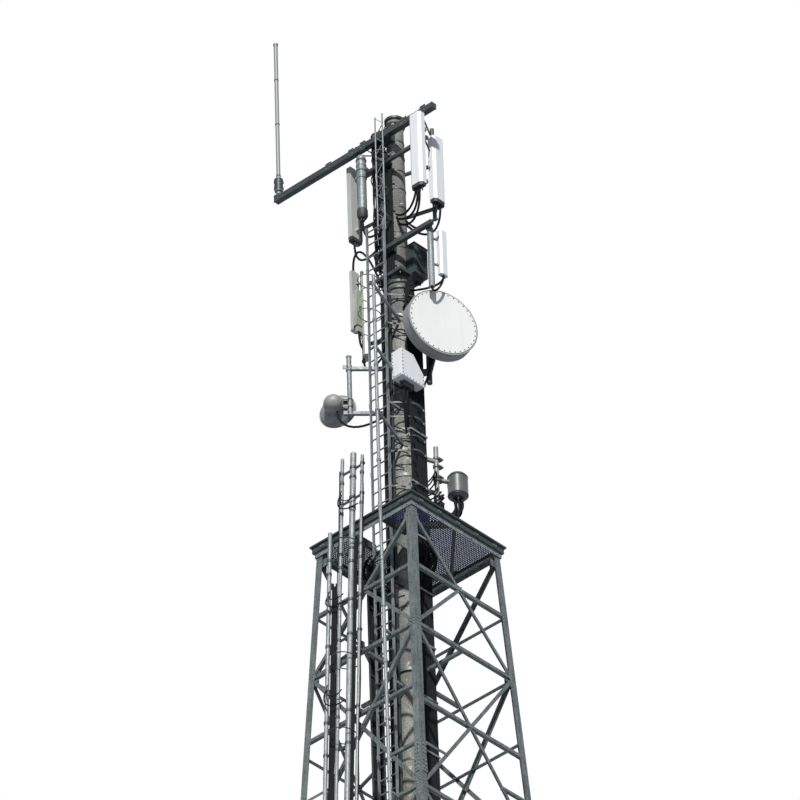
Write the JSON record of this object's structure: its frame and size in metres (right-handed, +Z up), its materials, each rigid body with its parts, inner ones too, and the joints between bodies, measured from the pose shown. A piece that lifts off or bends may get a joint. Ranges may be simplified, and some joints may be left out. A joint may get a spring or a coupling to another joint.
{
  "type": "lattice-braced telecom mast with platform and antennas",
  "caption": "Round concrete mast inside a tapered four-leg steel lattice with a square platform, ladder, cable runs, panel antennas, dishes and a whip on a top beam.",
  "frame": {"origin": "centre of the mast's base, at ground level", "axes": "+Z up along the mast; the four lattice sides face -Y, +X, +Y and -X; the ladder is on the -Y side"},
  "size_m": [4.6191, 4.1556, 28.425],
  "materials": {
    "concrete": "weathered cast concrete with stains",
    "galvanised": "dull galvanised steel",
    "lattice_zinc": "blue-grey galvanised angle steel",
    "bright_zinc": "bright galvanised tube",
    "dark_steel": "dark grey-green painted steel",
    "grating": "open steel grating, bluish grey",
    "cable_black": "black cable sheath",
    "whip_grey": "grey glass-fibre tube",
    "radome": "off-white radome",
    "radome_worn": "greyed, streaked radome",
    "end_cap": "dark moulded end cap",
    "radio_green": "grey-green painted housing",
    "radio_grey": "grey painted housing",
    "dish_shell": "light grey painted drum",
    "dish_face": "off-white flat radome",
    "small_dish_grey": "weathered grey dish"
  },
  "bodies": {
    "root": {"concrete_mast": "concrete", "mast_upper": "concrete", "mast_cap": "dark_steel", "mast_collar": "dark_steel", "mast_bands": "galvanised", "leg_front": "lattice_zinc", "leg_right": "lattice_zinc", "leg_back": "lattice_zinc", "leg_left": "lattice_zinc", "lattice_front_left": "lattice_zinc", "lattice_front_right": "lattice_zinc", "lattice_back_right": "lattice_zinc", "lattice_back_left": "lattice_zinc", "mast_guides": "lattice_zinc", "tower_top_ring": "galvanised", "platform_frame": "dark_steel", "platform_joists": "dark_steel", "deck_plates": "grating", "ladder_lower": "galvanised", "ladder_upper": "galvanised", "front_conduit": "galvanised", "conduit_arms": "galvanised", "cable_tray": "dark_steel", "tray_cables": "cable_black", "feeder_cables": "cable_black", "feeder_clamps": "bright_zinc", "shaft_tray": "dark_steel", "shaft_cables": "cable_black", "top_beam": "dark_steel", "beam_clamps": "dark_steel", "whip_antenna": "whip_grey", "upper_frame": "dark_steel", "panel_antenna_a": "radome", "panel_antenna_b": "radome", "panel_antenna_c": "radome_worn", "panel_end_caps": "end_cap", "canister_antenna": "galvanised", "lower_boom": "dark_steel", "boom_pole": "galvanised", "slim_antenna": "radome", "left_panels": "radome_worn", "left_radio": "radio_green", "left_mount": "dark_steel", "equipment_box": "dark_steel", "drum_dish_shell": "dish_shell", "drum_dish_face": "dish_face", "dish_mount": "dark_steel", "flat_antenna": "radome", "flat_antenna_bracket": "dark_steel", "small_dish": "small_dish_grey", "small_dish_mount": "galvanised", "radio_unit": "radio_grey", "radio_mount": "small_dish_grey", "side_poles": "bright_zinc", "side_pole_brackets": "dark_steel", "side_cables": "cable_black", "upper_tray": "galvanised", "upper_cables": "cable_black", "jumper_cables": "cable_black"}
  },
  "joints": []
}
